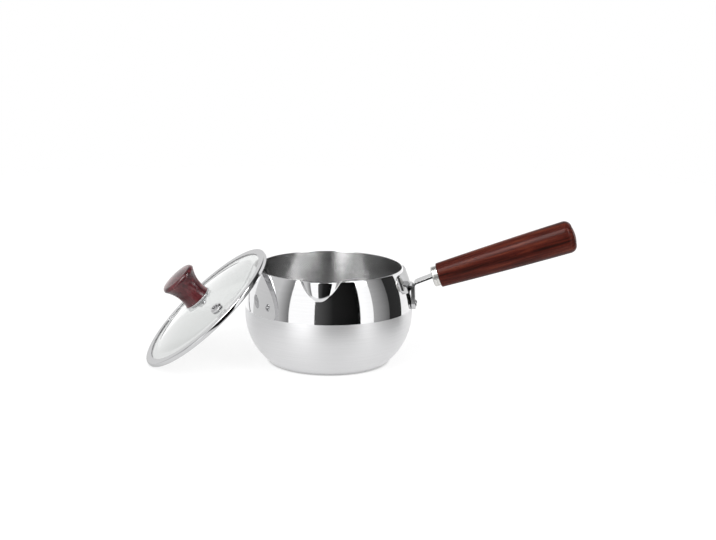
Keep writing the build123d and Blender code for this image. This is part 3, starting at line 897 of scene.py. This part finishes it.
def seen_directly(tree, path):
    """1 for a ray from the camera, off something glossy or through something clear, or 0."""
    rays = [path.outputs[name] for name in ("Is Camera Ray", "Is Glossy Ray", "Is Transmission Ray")]
    either = node(tree, "ShaderNodeMath", {0: rays[0], 1: rays[1]}, operation="MAXIMUM").outputs[0]
    return node(tree, "ShaderNodeMath", {0: either, 1: rays[2]}, operation="MAXIMUM").outputs[0]


# It fades out far off, and for glossy rays close by, so that the cards' lower parts show.
path = node(tree, "ShaderNodeLightPath")
far = node(tree, "ShaderNodeMapRange", {
    "Value": away, "From Min": paper_far_from, "From Max": paper_far_to, "To Min": 0.0, "To Max": 1.0,
}, interpolation_type="SMOOTHSTEP").outputs[0]
near = node(tree, "ShaderNodeMapRange", {
    "Value": away, "From Min": paper_near_from, "From Max": paper_near_to, "To Min": 0.0, "To Max": 1.0,
}, interpolation_type="SMOOTHSTEP").outputs[0]
glossy_near = {0: near, 1: path.outputs["Is Glossy Ray"]}
glossy_near = node(tree, "ShaderNodeMath", glossy_near, operation="MULTIPLY").outputs[0]
fade = node(tree, "ShaderNodeMath", {0: far, 1: glossy_near}, operation="MAXIMUM").outputs[0]
own_white = {0: seen_directly(tree, path), 1: paper_own_white}
own_white = node(tree, "ShaderNodeMath", own_white, operation="MULTIPLY").outputs[0]
# Painted contact shadow: ambient occlusion dims the paper's own white where the pan and the lid touch it.
open_air = node(tree, "ShaderNodeAmbientOcclusion", {"Distance": painted_shadow_reach}, samples=12)
painted_contact_shadow = node(tree, "ShaderNodeMapRange", {
    "Value": open_air.outputs["AO"], "From Min": 0.0, "From Max": 0.45, "To Min": 0.35, "To Max": 1.0,
}, interpolation_type="SMOOTHSTEP").outputs[0]
matt = node(tree, "ShaderNodeBsdfDiffuse", {"Color": linear("#FAFAFA"), "Roughness": 1.0})
white = node(tree, "ShaderNodeEmission", {"Color": (1, 1, 1, 1), "Strength": painted_contact_shadow})
paper = node(tree, "ShaderNodeMixShader", {0: own_white, 1: matt.outputs[0], 2: white.outputs[0]})
clear = node(tree, "ShaderNodeBsdfTransparent")
surface(tree, node(tree, "ShaderNodeMixShader", {0: fade, 1: paper.outputs[0], 2: clear.outputs[0]}))
table_top.data.materials.append(paper_finish)

# Background and lamps
# A plain white studio with three soft lamps. Glossy rays find it a little brighter at its foot and dark
# overhead, so that varnish and steel keep their depth seen from above.
overhead_from, overhead_to = 0.42, 0.8
foot_extra, overhead_extra = 0.22, -0.9
world = bpy.data.worlds.new("studio_white")
world.use_nodes = True
tree = world.node_tree
tree.nodes.clear()
path = node(tree, "ShaderNodeLightPath")
direction = node(tree, "ShaderNodeTexCoord").outputs["Generated"]
rise = node(tree, "ShaderNodeSeparateXYZ", {0: direction}).outputs["Z"]
extra = node(tree, "ShaderNodeMapRange", {
    "Value": rise, "From Min": overhead_from, "From Max": overhead_to,
    "To Min": foot_extra, "To Max": overhead_extra,
}, interpolation_type="SMOOTHSTEP").outputs[0]
glossy_extra = {0: extra, 1: path.outputs["Is Glossy Ray"]}
glossy_extra = node(tree, "ShaderNodeMath", glossy_extra, operation="MULTIPLY").outputs[0]
plain = {"Value": seen_directly(tree, path), "To Min": 0.9, "To Max": 1.0}
plain = node(tree, "ShaderNodeMapRange", plain).outputs[0]
strength = node(tree, "ShaderNodeMath", {0: plain, 1: glossy_extra}, operation="ADD").outputs[0]
sky = node(tree, "ShaderNodeBackground", {"Color": (1, 1, 1, 1), "Strength": strength})
node(tree, "ShaderNodeOutputWorld", {"Surface": sky.outputs[0]})
bpy.context.scene.world = world

lamps_aim = Vector((0, 0, 0.05))


def lamp(name, bearing_deg, rise_deg, distance, width, height, watts):
    """A rectangular soft box at a bearing and a rise from the belly's middle, turned to it."""
    a, e = np.radians(bearing_deg), np.radians(rise_deg)
    spot = Vector((np.cos(a) * np.cos(e), np.sin(a) * np.cos(e), np.sin(e))) * distance
    data = bpy.data.lights.new(name, "AREA")
    data.shape, data.size, data.size_y, data.energy = "RECTANGLE", width, height, watts
    piece = bpy.data.objects.new(name, data)
    piece.location = spot + lamps_aim
    piece.rotation_euler = (-spot).to_track_quat("-Z", "Y").to_euler()
    piece.visible_glossy = False
    piece.visible_camera = False
    bpy.context.scene.collection.objects.link(piece)


lamp("lamp_left", bearing_deg=-120, rise_deg=35, distance=1.7, width=1.0, height=1.2, watts=12)
lamp("lamp_right", bearing_deg=-32, rise_deg=35, distance=1.7, width=0.7, height=1.2, watts=8)
lamp("lamp_top", bearing_deg=60, rise_deg=75, distance=1.8, width=1.4, height=1.4, watts=9)

# Camera
# It stands 1.2 m off and a little above the pan, where the outlines of rim, belly, base, lid and grip in
# the photograph put it.
camera_spot = Vector((0.1291, -1.1593, 0.3436))
camera_look = Vector((-0.0851, 0.9731, -0.2142)).normalized()
camera_roll = np.radians(0.765)
lens_mm = 62.85
camera_right = camera_look.cross(Vector((0, 0, 1))).normalized()
camera_up = camera_right.cross(camera_look)
data = bpy.data.cameras.new("camera")
data.sensor_width, data.lens, data.sensor_fit = 36.0, lens_mm, "HORIZONTAL"
data.clip_start, data.clip_end = 0.01, 50
camera = bpy.data.objects.new("camera", data)
aim = Matrix((camera_right, camera_up, -camera_look)).transposed()
aim = aim @ Matrix.Rotation(camera_roll, 3, "Z")
camera.matrix_world = Matrix.Translation(camera_spot) @ aim.to_4x4()
bpy.context.scene.collection.objects.link(camera)
bpy.context.scene.camera = camera
bpy.context.scene.view_settings.view_transform = "Standard"
